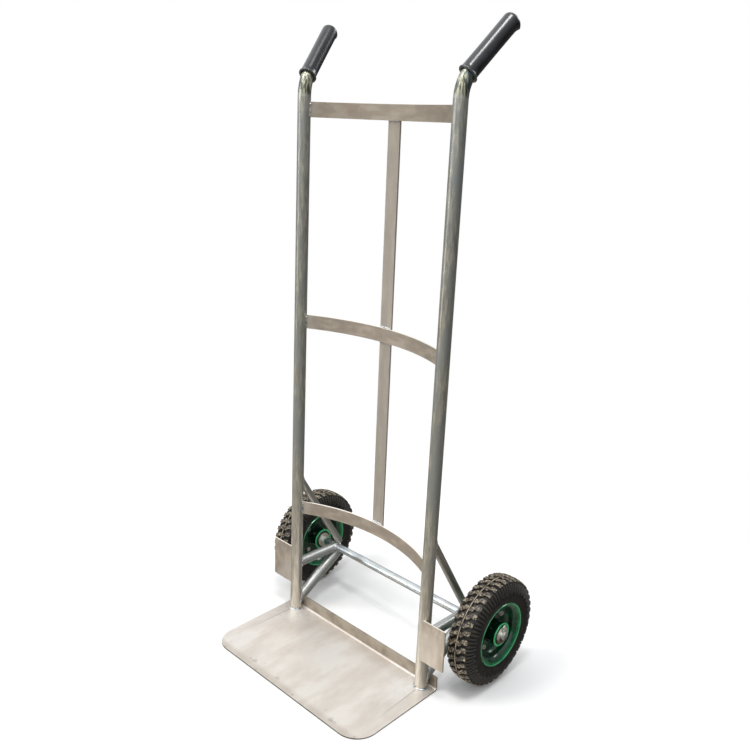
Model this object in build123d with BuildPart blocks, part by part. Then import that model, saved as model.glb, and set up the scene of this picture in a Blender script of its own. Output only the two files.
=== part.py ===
from build123d import *

import os
from math import asin, cos, degrees, radians, sin, tan

# A two-wheeled hand truck, in millimetres. +Z is up, the toe plate points to -Y and the wheels are at +Y.
# The origin is on the floor, midway between the feet of the two rails. Left is the -X side.

# Rails and handles
rail_x = 186.2            # half the distance between the axes of the rails
rail_r = 12.5
tube_wall = 1.5
rail_lean = 1.08          # degrees that the rails lean back
handle_corner_z = 1117.0  # height where the lines of the rail and its handle cross
handle_tilt = 44.0        # degrees between the handle and the upright
handle_splay = 16.4       # degrees that the handle turns out from straight back
handle_bend_r = 70.0
grip_r = 15.2
grip_collar_r = 17.0
grip_collar_length = 3.0
grip_start = 12.8         # from the corner to the open end of the grip, along the handle
grip_length = 119.0
grip_end_wall = 4.0
grip_end_round = 5.0

# Flat bars
bar_height = 28.0
bar_t = 4.0
bar_tops = {"top": 1080.8, "middle": 674.4, "lower": 262.9}
bar_bows = {"top": 47.0, "middle": 50.0, "lower": 53.0}    # how far each bows back from the rails' axes
strip_width = 28.5
strip_end_inset = 6.0     # from the edges of the outer crossbars to the ends of the strip

# Toe plate
plate_half_width = 214.9
plate_front_y = -203.5
plate_t = 3.0
plate_corner_r = 46.0
flange_height = 30.0
flange_bend_r = 4.0
flange_corner_r = 3.0

# Wheel guards
guard_t = 3.0
guard_inner_x = 190.0
guard_outer_x = 245.5
guard_bottom_z = 69.0
guard_height = 87.0
guard_corner_r = 2.0

# Axle and its supports
axle_y = 119.8
axle_z = 110.0
axle_r = 8.5
axle_half_length = 292.0
axle_chamfer = 1.0
arm_r = 10.5
arm_rail_z = 112.0        # height of the arm's axis at the rail
upper_strut_r = 8.0
upper_strut_rail_z = 322.0
upper_strut_foot = (131.0, 118.0)    # Y and Z of its lower end, on the back of the axle
lower_strut_r = 12.0
lower_strut_rail_z = 17.0
lower_strut_head = (124.0, 94.0)     # Y and Z of its upper end, under the axle

# Wheels, measured from the middle plane of the wheel, outwards along the axle
wheel_x = 255.6
tyre_r = 110.0
tyre_crown_u = 9.5        # a point of the tread between its middle and its shoulder
tyre_crown_r = 109.2
tyre_shoulder_u = 19.0
tyre_shoulder_r = 107.0
tyre_side_u = 28.0
tyre_side_r = 88.0
tyre_lip_u = 26.0
tyre_lip_r = 67.0
bead_u = 24.0
bead_top_r = 64.8
bead_foot_u = 15.0
bead_chamfer = 2.6
cavity_foot_r = 59.8      # the inside of the tyre, from its foot to its middle
cavity_side_u = 23.0
cavity_shoulder_u = 16.0
cavity_shoulder_r = 101.5
cavity_crown_r = 102.9
cavity_r = 103.5
tube_centre_r = 79.0
tube_half_width = 21.5
tube_half_height = 23.5
tube_rubber_t = 1.5
rim_sheet = 2.0
rim_barrel_r = 51.0       # middle of the sheet
rim_flange_r = 63.8
rim_flange_u = 25.3       # middle of the sheet
rim_web_r = 46.0
rim_slope_u = 5.0
rim_bend_r = 3.0
bolt_circle_r = 36.5
bolt_angles = (45.0, 135.0, 225.0, 315.0)
bolt_r = 3.0
bolt_hole_r = 3.3
bolt_hex_r = 5.0          # half the width across the flats
bolt_head_t = 4.0
nut_t = 5.0
bolt_tip = 9.0

# Hub and bearings
hub_r = 24.0
hub_half_length = 27.0
hub_bore_r = 18.0
bearing_r = 20.0
bearing_width = 12.0
bearing_recess = 2.0
race_t = 3.5
ball_r = 3.0
ball_count = 9
ball_gap = 0.1            # clearance between the balls and the grooves
seal_t = 1.6
seal_gap = 0.3
spacer_wall = 3.0
shaft_fit = 0.05          # radial clearance of what slides onto the axle
nose_r = 11.7             # collars and washers bear on the inner races with a nose of this radius
nose_gap = 0.4            # from the end of the hub to a collar or washer
collar_r = 15.7
collar_t = 3.6
washer_r = 17.0
washer_t = 2.5
pin_r = 1.8
pin_half_length = 14.0
pin_eye_r = 3.6           # middle of the wire
pin_from_end = 4.4

# Valve
valve_r = 3.0
valve_hole_r = 3.4
valve_u = -10.0           # the valve is on the inner side of the wheel
valve_turn_r = 40.0
valve_length = 13.0
valve_bend_r = 5.0
valve_angle = 117.0       # degrees from the top of the wheel, towards the toe plate
cap_r = 4.2
cap_length = 9.0
cap_overlap = 5.0

# Worked out from the sizes above
rail_way = Vector(0, sin(radians(rail_lean)), cos(radians(rail_lean)))
flange_y = rail_r + plate_t / 2     # middle of the flange's sheet
bearing_outer_u = hub_half_length - bearing_recess
bearing_inner_u = bearing_outer_u - bearing_width
bearing_mid_u = bearing_outer_u - bearing_width / 2
ball_circle_r = (axle_r + bearing_r) / 2
bead_seat_r = rim_barrel_r + rim_sheet / 2
pin_x = axle_half_length - pin_from_end


def rail_point(side, height):
    """The point of a rail's axis at a height above the floor."""
    return Vector(side * rail_x, height * tan(radians(rail_lean)), height)


def rail_plane(side, height):
    """A plane square to a rail at a height, centred on the rail, or between the rails for side 0."""
    return Plane(origin=rail_point(side, height), x_dir=(1, 0, 0), z_dir=rail_way)


def handle_way(side):
    tilt, splay = radians(handle_tilt), radians(handle_splay)
    return Vector(side * sin(tilt) * sin(splay), sin(tilt) * cos(splay), cos(tilt))


def handle_plane(side):
    """Holds a rail and its handle. X is up the rail, from the corner where their lines cross."""
    across = rail_way.cross(handle_way(side))
    return Plane(origin=rail_point(side, handle_corner_z), x_dir=rail_way, z_dir=across)


def rail_rod(side, radius):
    """A solid rod along a rail and its handle."""
    turn = radians(rail_way.get_angle(handle_way(side)))
    foot = plate_t / 2 - handle_corner_z
    top = grip_start + grip_length - grip_end_wall
    with BuildPart() as rod:
        with BuildLine(handle_plane(side)) as path:
            FilletPolyline((foot, 0), (0, 0), (top * cos(turn), top * sin(turn)), radius=handle_bend_r)
        with BuildSketch(Plane(origin=path.line @ 0, z_dir=path.line % 0)):
            Circle(radius)
        sweep(path=path.line)
    return rod.part


def round_bar(start, end, radius):
    """A solid bar between two points."""
    with BuildPart() as bar:
        with BuildSketch(Plane(origin=start, z_dir=end - start)):
            Circle(radius)
        extrude(amount=(end - start).length)
    return bar.part


def save(piece, name):
    """Labels a finished piece and writes its file."""
    piece.label = name
    export_step(piece, "parts/" + name + ".step")


os.makedirs("parts", exist_ok=True)
sides = {"left": -1, "right": 1}
rods = {side: rail_rod(side, rail_r) for side in sides.values()}

# ---- Toe plate: a sheet with rounded front corners and an upturned flange behind the rails
with BuildPart() as toe_plate:
    with BuildSketch(Plane.YZ):
        with BuildLine() as bent_sheet:
            FilletPolyline(
                (plate_front_y, plate_t / 2),
                (flange_y, plate_t / 2),
                (flange_y, flange_height),
                radius=flange_bend_r,
            )
        trace(line_width=plate_t)
    extrude(amount=plate_half_width, both=True)
    fillet(toe_plate.edges().filter_by(Axis.Z).group_by(Axis.Y)[0], radius=plate_corner_r)
    fillet(toe_plate.edges().filter_by(Axis.Y).group_by(Axis.Z)[-1], radius=flange_corner_r)
save(toe_plate.part, "toe_plate")

# ---- Rails: bent tubes that stand on the toe plate
for name, side in sides.items():
    with BuildPart() as rail:
        add(rods[side])
        add(rail_rod(side, rail_r - tube_wall), mode=Mode.SUBTRACT)
        add(toe_plate.part, mode=Mode.SUBTRACT)
    save(rail.part, name + "_rail")

# ---- Crossbars: flat bars on edge, bowed backwards between the rails
for name, top in bar_tops.items():
    bow_r = (rail_x**2 + bar_bows[name] ** 2) / (2 * bar_bows[name])
    bow_half_angle = degrees(asin((rail_x - rail_r / 2) / bow_r))
    with BuildPart() as crossbar:
        with BuildSketch(rail_plane(0, top)):
            with BuildLine():
                CenterArc((0, bar_bows[name] - bow_r), bow_r, 90 - bow_half_angle, 2 * bow_half_angle)
            trace(line_width=bar_t)
        extrude(amount=-bar_height)
        for side in sides.values():
            add(rods[side], mode=Mode.SUBTRACT)
    save(crossbar.part, name + "_crossbar")

# ---- Centre strip: a straight flat bar against the top edges of the crossbars' backs
strip_high = rail_plane(0, bar_tops["top"]).from_local_coords((0, bar_bows["top"] + bar_t, 0))
strip_low = rail_plane(0, bar_tops["lower"]).from_local_coords((0, bar_bows["lower"] + bar_t, 0))
strip_base = Plane(origin=strip_low, x_dir=(1, 0, 0), z_dir=strip_high - strip_low)
with BuildPart() as centre_strip:
    with BuildSketch(strip_base.offset(strip_end_inset - bar_height)):
        Rectangle(strip_width, bar_t)
    extrude(amount=(strip_high - strip_low).length + bar_height - 2 * strip_end_inset)
save(centre_strip.part, "centre_strip")

# ---- Wheel guards: plates flush with the fronts of the rails, in front of the wheels
guard_middle_z = guard_bottom_z + guard_height / 2
for name, side in sides.items():
    front = Plane(
        origin=rail_point(side, guard_middle_z),
        x_dir=(1, 0, 0),
        z_dir=Vector(1, 0, 0).cross(rail_way),
    )
    with BuildPart() as guard:
        with BuildSketch(front.offset(rail_r - guard_t)):
            with Locations((side * ((guard_inner_x + guard_outer_x) / 2 - rail_x), 0)):
                RectangleRounded(guard_outer_x - guard_inner_x, guard_height, guard_corner_r)
        extrude(amount=guard_t)
        add(rods[side], mode=Mode.SUBTRACT)
    save(guard.part, name + "_wheel_guard")

# ---- Axle: a solid bar through both wheels, drilled at each end for a split pin
with BuildPart() as axle:
    with BuildSketch(Plane.YZ.offset(-axle_half_length)):
        with Locations((axle_y, axle_z)):
            Circle(axle_r)
    extrude(amount=2 * axle_half_length)
    chamfer(axle.edges().filter_by(GeomType.CIRCLE), length=axle_chamfer)
    with Locations((-pin_x, axle_y, axle_z), (pin_x, axle_y, axle_z)):
        Cylinder(pin_r, 3 * axle_r, mode=Mode.SUBTRACT)
save(axle.part, "axle")

# ---- Axle arms and struts: tubes from each rail to the axle, each cut to fit what it is welded to
for name, side in sides.items():
    axle_point = Vector(side * rail_x, axle_y, axle_z)
    upper_foot = Vector(side * rail_x, *upper_strut_foot)
    lower_head = Vector(side * rail_x, *lower_strut_head)
    arm_rod = round_bar(rail_point(side, arm_rail_z), axle_point, arm_r)
    frame_tubes = [
        ("axle_arm", rail_point(side, arm_rail_z), axle_point, arm_r, []),
        ("upper_strut", rail_point(side, upper_strut_rail_z), upper_foot, upper_strut_r, [arm_rod]),
        ("lower_strut", rail_point(side, lower_strut_rail_z), lower_head, lower_strut_r, [arm_rod]),
    ]
    for tube_name, start, end, radius, others in frame_tubes:
        with BuildPart() as frame_tube:
            add(round_bar(start, end, radius))
            add(round_bar(start, end, radius - tube_wall), mode=Mode.SUBTRACT)
            for other in [rods[side], axle.part, toe_plate.part] + others:
                add(other, mode=Mode.SUBTRACT)
        save(frame_tube.part, name + "_" + tube_name)

# ---- Grips: closed at the outer end, with a collar at the mouth, pushed onto the handles
for name, side in sides.items():
    mouth = Plane(
        origin=rail_point(side, handle_corner_z) + handle_way(side) * grip_start,
        z_dir=handle_way(side),
    )
    with BuildPart() as grip:
        with BuildSketch(mouth):
            Circle(grip_r)
        extrude(amount=grip_length)
        end_edge = grip.edges().filter_by(GeomType.CIRCLE).sort_by(Axis.Z)[-1]
        fillet(end_edge, radius=grip_end_round)
        with BuildSketch(mouth):
            Circle(grip_collar_r)
        extrude(amount=grip_collar_length)
        add(rods[side], mode=Mode.SUBTRACT)
    save(grip.part, name + "_grip")


# ---- Wheels. Each is drawn in a plane through its axle: X is outwards along the axle and Y is up

def wheel_plane(side):
    return Plane(
        origin=(side * wheel_x, axle_y, axle_z),
        x_dir=(side, 0, 0),
        z_dir=(0, -side, 0),
    )


def wheel_axis(side):
    return Axis((side * wheel_x, axle_y, axle_z), (side, 0, 0))


def ring(side, u_low, u_high, r_low, r_high):
    """A plain ring about the axle, between two places along it and two radii."""
    with BuildPart() as plain_ring:
        with BuildSketch(wheel_plane(side)):
            with Locations(((u_low + u_high) / 2, (r_low + r_high) / 2)):
                Rectangle(u_high - u_low, r_high - r_low)
        revolve(axis=wheel_axis(side))
    return plain_ring.part


def race(side, r_low, r_high):
    """A bearing ring with its groove for the balls, at each end of the hub."""
    with BuildPart() as races:
        with BuildSketch(wheel_plane(side)):
            with Locations((bearing_mid_u, 0), (-bearing_mid_u, 0)):
                with Locations((0, (r_low + r_high) / 2)):
                    Rectangle(bearing_width, r_high - r_low)
                with Locations((0, ball_circle_r)):
                    Circle(ball_r + ball_gap, mode=Mode.SUBTRACT)
        revolve(axis=wheel_axis(side))
    return races.part


def bolt_planes(side, u):
    """Planes square to the axle at each rim bolt, facing outwards."""
    wheel = wheel_plane(side)
    around = Plane(origin=wheel.origin + wheel.x_dir * u, x_dir=(0, side, 0), z_dir=wheel.x_dir)
    places = []
    for angle in bolt_angles:
        turned = radians(angle)
        corner = around.from_local_coords((bolt_circle_r * cos(turned), bolt_circle_r * sin(turned)))
        places.append(Plane(origin=corner, x_dir=around.x_dir, z_dir=around.z_dir))
    return places


def valve_plane(side):
    """Holds the valve. X is outwards along the axle and Y points away from it, at the valve's angle."""
    return wheel_plane(side).rotated((side * valve_angle, 0, 0))


def valve_rod(side, radius):
    """A rod along the valve stem: from inside the inner tube towards the axle, then inwards."""
    deep = tube_centre_r - tube_half_height + 2 * tube_rubber_t
    with BuildPart() as rod:
        with BuildLine(valve_plane(side)) as path:
            FilletPolyline(
                (valve_u, deep),
                (valve_u, valve_turn_r),
                (valve_u - valve_length, valve_turn_r),
                radius=valve_bend_r,
            )
        with BuildSketch(Plane(origin=path.line @ 0, z_dir=path.line % 0)):
            Circle(radius)
        sweep(path=path.line)
    return rod.part


def shouldered_ring(side, facing, radius, thickness):
    """A collar or washer, with a nose that reaches the inner race past the seal."""
    u_face = hub_half_length + nose_gap
    with BuildPart() as shouldered:
        with BuildSketch(wheel_plane(side)):
            with BuildLine():
                Polyline(
                    (facing * bearing_outer_u, axle_r + shaft_fit),
                    (facing * bearing_outer_u, nose_r),
                    (facing * u_face, nose_r),
                    (facing * u_face, radius),
                    (facing * (u_face + thickness), radius),
                    (facing * (u_face + thickness), axle_r + shaft_fit),
                    close=True,
                )
            make_face()
        revolve(axis=wheel_axis(side))
    return shouldered.part


def rim_half(side, facing):
    """One pressed dish of the rim. Facing is 1 for the outer dish and -1 for the inner one."""
    with BuildPart() as dish:
        with BuildSketch(wheel_plane(side)):
            with BuildLine():
                FilletPolyline(
                    (facing * rim_sheet / 2, hub_r),
                    (facing * rim_sheet / 2, rim_web_r),
                    (facing * rim_slope_u, rim_barrel_r),
                    (facing * rim_flange_u, rim_barrel_r),
                    (facing * rim_flange_u, rim_flange_r),
                    radius=rim_bend_r,
                )
            trace(line_width=rim_sheet)
        revolve(axis=wheel_axis(side))
        with BuildSketch(*bolt_planes(side, -rim_flange_u)):
            Circle(bolt_hole_r)
        extrude(amount=2 * rim_flange_u, mode=Mode.SUBTRACT)
    return dish.part


for name, side in sides.items():
    wheel = wheel_plane(side)
    spin = wheel_axis(side)

    # The tyre's section is drawn for the outer side and mirrored
    shoulder = (tyre_shoulder_u, tyre_shoulder_r)
    lip = (tyre_lip_u, tyre_lip_r)
    foot = (bead_foot_u, cavity_foot_r)
    cavity_shoulder = (cavity_shoulder_u, cavity_shoulder_r)
    with BuildPart() as tyre:
        with BuildSketch(wheel):
            with BuildLine():
                ThreePointArc((0, tyre_r), (tyre_crown_u, tyre_crown_r), shoulder)
                ThreePointArc(shoulder, (tyre_side_u, tyre_side_r), lip)
                Polyline(
                    lip,
                    (bead_u, bead_top_r),
                    (bead_u, bead_seat_r + bead_chamfer),
                    (bead_u - bead_chamfer, bead_seat_r),
                    (bead_foot_u, bead_seat_r),
                    foot,
                )
                ThreePointArc(foot, (cavity_side_u, tyre_side_r), cavity_shoulder)
                ThreePointArc(cavity_shoulder, (tyre_crown_u, cavity_crown_r), (0, cavity_r))
                mirror(about=Plane.YZ)
            make_face()
        revolve(axis=spin)
    save(tyre.part, name + "_tyre")

    with BuildPart() as inner_tube:
        with BuildSketch(wheel):
            with Locations((0, tube_centre_r)):
                Ellipse(tube_half_width, tube_half_height)
                Ellipse(
                    tube_half_width - tube_rubber_t,
                    tube_half_height - tube_rubber_t,
                    mode=Mode.SUBTRACT,
                )
        revolve(axis=spin)
        add(valve_rod(side, valve_r), mode=Mode.SUBTRACT)
    save(inner_tube.part, name + "_inner_tube")

    save(rim_half(side, 1), name + "_rim_outer_half")
    with BuildPart() as inner_half:
        add(rim_half(side, -1))
        add(valve_rod(side, valve_hole_r), mode=Mode.SUBTRACT)
    save(inner_half.part, name + "_rim_inner_half")

    with BuildPart() as hub_sleeve:
        add(ring(side, -hub_half_length, hub_half_length, hub_bore_r, hub_r))
        for facing in (-1, 1):
            seat = sorted((facing * bearing_inner_u, facing * hub_half_length))
            add(ring(side, *seat, hub_bore_r, bearing_r), mode=Mode.SUBTRACT)
    save(hub_sleeve.part, name + "_hub_sleeve")

    # Bearings. The inner races, the spacer between them and what holds the wheel on stay with the axle
    save(race(side, bearing_r - race_t, bearing_r), name + "_bearing_outer_races")
    save(race(side, axle_r + shaft_fit, axle_r + race_t), name + "_bearing_inner_races")
    save(ring(side, -bearing_inner_u, bearing_inner_u, axle_r + shaft_fit, axle_r + spacer_wall),
         name + "_hub_spacer")
    save(shouldered_ring(side, -1, collar_r, collar_t), name + "_inner_collar")
    save(shouldered_ring(side, 1, washer_r, washer_t), name + "_outer_washer")

    with BuildPart() as balls:
        for u in (-bearing_mid_u, bearing_mid_u):
            circle = Plane(origin=wheel.origin + wheel.x_dir * u, z_dir=wheel.x_dir)
            with Locations(circle):
                with PolarLocations(ball_circle_r, ball_count):
                    Sphere(ball_r)
    save(balls.part, name + "_bearing_balls")

    with BuildPart() as seals:
        for facing in (-1, 1):
            edges = sorted((facing * bearing_outer_u, facing * (bearing_outer_u + seal_t)))
            add(ring(side, *edges, nose_r + seal_gap, bearing_r))
    save(seals.part, name + "_bearing_seals")

    with BuildPart() as split_pin:
        with BuildSketch(Plane.XY.offset(axle_z - pin_half_length)):
            with Locations((side * pin_x, axle_y)):
                Circle(pin_r - shaft_fit)
        extrude(amount=2 * pin_half_length)
        eye = (side * pin_x, axle_y, axle_z + pin_half_length + pin_eye_r)
        with Locations(Location(eye, (0, 90, 0))):
            Torus(pin_eye_r, pin_r - shaft_fit)
    save(split_pin.part, name + "_split_pin")

    # Fasteners: bolt heads on the inner side, nuts on the outer side
    with BuildPart() as bolts:
        with BuildSketch(*bolt_planes(side, -rim_sheet - bolt_head_t)):
            RegularPolygon(bolt_hex_r, 6, major_radius=False)
        extrude(amount=bolt_head_t)
        with BuildSketch(*bolt_planes(side, -rim_sheet)):
            Circle(bolt_r)
        extrude(amount=rim_sheet + bolt_tip)
    save(bolts.part, name + "_rim_bolts")

    with BuildPart() as nuts:
        with BuildSketch(*bolt_planes(side, rim_sheet)):
            RegularPolygon(bolt_hex_r, 6, major_radius=False)
            Circle(bolt_r + shaft_fit, mode=Mode.SUBTRACT)
        extrude(amount=nut_t)
    save(nuts.part, name + "_rim_nuts")

    save(valve_rod(side, valve_r), name + "_valve_stem")
    valve = valve_plane(side)
    cap_origin = valve.from_local_coords((valve_u - valve_length + cap_overlap, valve_turn_r, 0))
    with BuildPart() as valve_cap:
        with BuildSketch(Plane(origin=cap_origin, z_dir=-valve.x_dir)):
            Circle(cap_r)
        extrude(amount=cap_length)
        add(valve_rod(side, valve_r + shaft_fit), mode=Mode.SUBTRACT)
    save(valve_cap.part, name + "_valve_cap")
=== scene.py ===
from math import asin, atan2, cos, pi, radians, sin, sqrt, tan

import bmesh
import bpy
import numpy as np
from mathutils import Matrix, Vector


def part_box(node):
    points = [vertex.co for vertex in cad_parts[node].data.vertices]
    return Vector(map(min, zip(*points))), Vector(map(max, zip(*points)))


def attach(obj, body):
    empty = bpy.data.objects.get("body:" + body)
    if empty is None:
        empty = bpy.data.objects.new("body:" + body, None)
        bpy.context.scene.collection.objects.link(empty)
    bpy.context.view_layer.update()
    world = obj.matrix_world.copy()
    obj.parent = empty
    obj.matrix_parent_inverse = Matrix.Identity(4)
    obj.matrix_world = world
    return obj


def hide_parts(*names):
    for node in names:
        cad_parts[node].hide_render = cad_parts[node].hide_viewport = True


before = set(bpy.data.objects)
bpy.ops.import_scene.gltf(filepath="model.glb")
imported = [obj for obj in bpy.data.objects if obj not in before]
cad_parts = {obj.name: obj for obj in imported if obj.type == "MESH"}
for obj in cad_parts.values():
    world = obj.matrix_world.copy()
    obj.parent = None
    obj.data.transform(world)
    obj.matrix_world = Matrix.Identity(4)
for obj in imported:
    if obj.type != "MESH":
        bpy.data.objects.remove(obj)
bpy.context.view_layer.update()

# Metres, in the frame of the CAD model: +Z up, toe plate to -Y, left is the -X side.
SIDES = {"left": -1, "right": 1}
MM = 0.001

# Sizes shared with the CAD model
RAIL_X = 186.2 * MM
RAIL_R = 12.5 * MM
RAIL_LEAN = radians(1.08)
CORNER_Z = 1117 * MM
HANDLE_TILT = radians(44)
HANDLE_SPLAY = radians(16.4)
GRIP_START = 12.8 * MM
GRIP_LENGTH = 122.5 * MM    # 3.5 mm more than the CAD's
GRIP_R = 15.2 * MM
COLLAR_R = 17 * MM
BAR_T = 4 * MM
BAR_BOWS = {"top": 47 * MM, "middle": 50 * MM, "lower": 53 * MM}
ARM_R = 10.5 * MM
ARM_RAIL_Z = 112 * MM
UPPER_STRUT_R = 8 * MM
UPPER_STRUT_RAIL_Z = 322 * MM
UPPER_STRUT_FOOT = (131 * MM, 118 * MM)
LOWER_STRUT_R = 12 * MM
LOWER_STRUT_RAIL_Z = 17 * MM
LOWER_STRUT_HEAD = (124 * MM, 94 * MM)

# Sizes read from the frame
axle_low, axle_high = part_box("axle")
AXLE = (axle_low + axle_high) / 2
AXLE_R = (axle_high.z - axle_low.z) / 2
tyre_low, tyre_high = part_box("right_tyre")
WHEEL_X = (tyre_low.x + tyre_high.x) / 2
TYRE_R = (tyre_high.z - tyre_low.z) / 2
CROWN_DROP = 8.3    # metres of radius lost per square metre across the tread
HUB_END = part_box("right_hub_sleeve")[1].x - WHEEL_X
plate_low, plate_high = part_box("toe_plate")

# The toe plate, whose creases and thin margin are only in the visual model
PLATE_T = 3 * MM
PLATE_CORNER = 46 * MM
FLANGE_CORNER = 3 * MM
FLANGE_BEND = 4 * MM
CREASE_HALF = 1.2 * MM
CREASE_REAR_X = 186 * MM
CREASE_FRONT_X = 196 * MM
MARGIN_DROP = 0.9 * MM
CREASE_SPREAD = (CREASE_FRONT_X - CREASE_REAR_X) / (plate_high.y - plate_low.y)


def rail_point(side, height):
    """The point of a rail's axis at a height."""
    return Vector((side * RAIL_X, height * tan(RAIL_LEAN), height))


def handle_way(side):
    """The direction of a handle's end, which leans back and splays outwards."""
    flat = sin(HANDLE_TILT)
    return Vector((side * flat * sin(HANDLE_SPLAY), flat * cos(HANDLE_SPLAY), cos(HANDLE_TILT)))


RAIL_WAY = Vector((0, sin(RAIL_LEAN), cos(RAIL_LEAN)))

# ---- Camera

CAMERA_PLACE = Vector((1.04723, -1.05456, 1.06697))
CAMERA_AZIMUTH = radians(43.75)
CAMERA_ELEVATION = radians(17.65)
CAMERA_ROLL = radians(1.746)
CAMERA_LENS = 39.78


def make_camera():
    """A camera at the photograph's viewing angle."""
    data = bpy.data.cameras.new("camera")
    data.lens = CAMERA_LENS
    data.sensor_width = 36
    data.clip_start = 0.05
    camera = bpy.data.objects.new("camera", data)
    bpy.context.scene.collection.objects.link(camera)
    a, e, roll = CAMERA_AZIMUTH, CAMERA_ELEVATION, CAMERA_ROLL
    back = Vector((sin(a) * cos(e), -cos(a) * cos(e), sin(e)))
    right = Vector((cos(a), sin(a), 0))
    up = back.cross(right)
    turned_right = cos(roll) * right + sin(roll) * up
    turned_up = cos(roll) * up - sin(roll) * right
    turn = Matrix((turned_right, turned_up, back)).transposed()
    camera.matrix_world = Matrix.Translation(CAMERA_PLACE) @ turn.to_4x4()
    bpy.context.scene.camera = camera


# ---- Materials: node graphs over object coordinates, which are metres in the rest frame

def srgb(red, green, blue):
    """A linear colour from an ordinary 0 to 255 one."""
    channels = [c / 255 for c in (red, green, blue)]
    return tuple(c / 12.92 if c < 0.04045 else ((c + 0.055) / 1.055) ** 2.4 for c in channels) + (1.0,)


def add_node(tree, kind, inputs, output=0, **settings):
    """Adds a node, with links or values on its inputs, and returns one of its outputs."""
    made = tree.nodes.new(kind)
    for name, value in settings.items():
        setattr(made, name, value)
    for socket, value in inputs.items():
        if isinstance(value, bpy.types.NodeSocket):
            tree.links.new(value, made.inputs[socket])
        else:
            made.inputs[socket].default_value = value
    return made.outputs[output]


def add_ramp(tree, factor, stops):
    """Adds a colour ramp. Each stop is a place from 0 to 1 and a colour."""
    made = tree.nodes.new("ShaderNodeValToRGB")
    tree.links.new(factor, made.inputs["Fac"])
    marks = made.color_ramp.elements
    while len(marks) < len(stops):
        marks.new(0.5)
    for mark, (place, colour) in zip(marks, stops):
        mark.position = place
        mark.color = colour
    return made.outputs["Color"]


class Look:
    """A material under construction."""

    def __init__(self, name, **shader_values):
        self.material = bpy.data.materials.new(name)
        self.material.use_nodes = True
        self.tree = self.material.node_tree
        self.shader = self.tree.nodes["Principled BSDF"]
        for socket, value in shader_values.items():
            self.shader.inputs[socket.replace("_", " ")].default_value = value
        self.place = self.tree.nodes.new("ShaderNodeTexCoord").outputs["Object"]

    def node(self, kind, inputs, output=0, **settings):
        return add_node(self.tree, kind, inputs, output, **settings)

    def noise(self, size, detail=3.0, stretch=(1, 1, 1), turn=(0, 0, 0), roughness=0.55, shift=0.0):
        """Noise with grains of a size in metres, longer by stretch along X, Y and Z after a turn."""
        scale = [1 / k for k in stretch]
        turned = self.node("ShaderNodeMapping", {"Vector": self.place, "Rotation": turn})
        moved = self.node(
            "ShaderNodeMapping", {"Vector": turned, "Scale": scale, "Location": (shift, shift, shift)}
        )
        values = {"Vector": moved, "Scale": 1 / size, "Detail": detail, "Roughness": roughness}
        return self.node("ShaderNodeTexNoise", values)

    def ramp(self, factor, *stops):
        return add_ramp(self.tree, factor, stops)

    def mix(self, factor, first, second):
        """The first colour where the factor is 0, and the second where it is 1."""
        inputs = {0: factor, 6: first, 7: second}
        return self.node("ShaderNodeMix", inputs, output=2, data_type="RGBA")

    def math(self, operation, first, second=0.0):
        return self.node("ShaderNodeMath", {0: first, 1: second}, operation=operation)

    def times(self, first, second):
        return self.math("MULTIPLY", first, second)

    def over(self, tone, colour, mask, amount):
        """The tone with a colour over it where the mask is 1, as strongly as the amount."""
        return self.mix(self.times(mask, amount), tone, colour)

    def fade(self, value, low, high):
        """0 where the value is at low, 1 where it is at high, smooth between."""
        inputs = {"Value": value, "From Min": low, "From Max": high}
        return self.node("ShaderNodeMapRange", inputs, interpolation_type="SMOOTHSTEP")

    def between(self, value, low, high):
        """A value of 0 to 1 brought to the range from low to high."""
        return self.node("ShaderNodeMapRange", {"Value": value, "To Min": low, "To Max": high})

    def coordinate(self, axis):
        """A place along X, Y or Z, for an axis of 0, 1 or 2."""
        return self.node("ShaderNodeSeparateXYZ", {"Vector": self.place}, output=axis)

    def side_distance(self):
        """Distance from the middle plane, in metres."""
        return self.math("ABSOLUTE", self.coordinate(0))

    def upward(self):
        """How far the surface faces up: 1 is up, 0 is sideways and -1 is down."""
        facing = self.node("ShaderNodeNewGeometry", {}, output="Normal")
        return self.node("ShaderNodeSeparateXYZ", {"Vector": facing}, output=2)

    def distance_to(self, point):
        """Distance of the surface from a point, in metres."""
        inputs = {0: self.place, 1: point}
        return self.node("ShaderNodeVectorMath", inputs, output="Value", operation="DISTANCE")

    def radius_from_x(self, middle_y=0.0, middle_z=0.0):
        """Distance from a line along X, in metres."""
        y = self.math("SUBTRACT", self.coordinate(1), middle_y)
        z = self.math("SUBTRACT", self.coordinate(2), middle_z)
        squares = [self.math("POWER", offset, 2.0) for offset in (y, z)]
        return self.math("SQRT", self.math("ADD", *squares))

    def edges(self):
        """Light where the surface is sharp, for wear along edges, and for a painted highlight on the
        rim's edges.
        """
        pointed = self.node("ShaderNodeNewGeometry", {}, output="Pointiness")
        return self.fade(pointed, 0.515, 0.55)

    def finish(self, colour, roughness, heights=()):
        """Wires colour and roughness to the shader. Bumps are pairs of height and depth in metres."""
        self.tree.links.new(colour, self.shader.inputs["Base Color"])
        self.tree.links.new(roughness, self.shader.inputs["Roughness"])
        normal = None
        for height, depth in heights:
            inputs = {"Height": height, "Distance": depth, "Strength": 1.0}
            if normal is not None:
                inputs["Normal"] = normal
            normal = self.node("ShaderNodeBump", inputs)
        if normal is not None:
            self.tree.links.new(normal, self.shader.inputs["Normal"])
        return self.material


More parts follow.
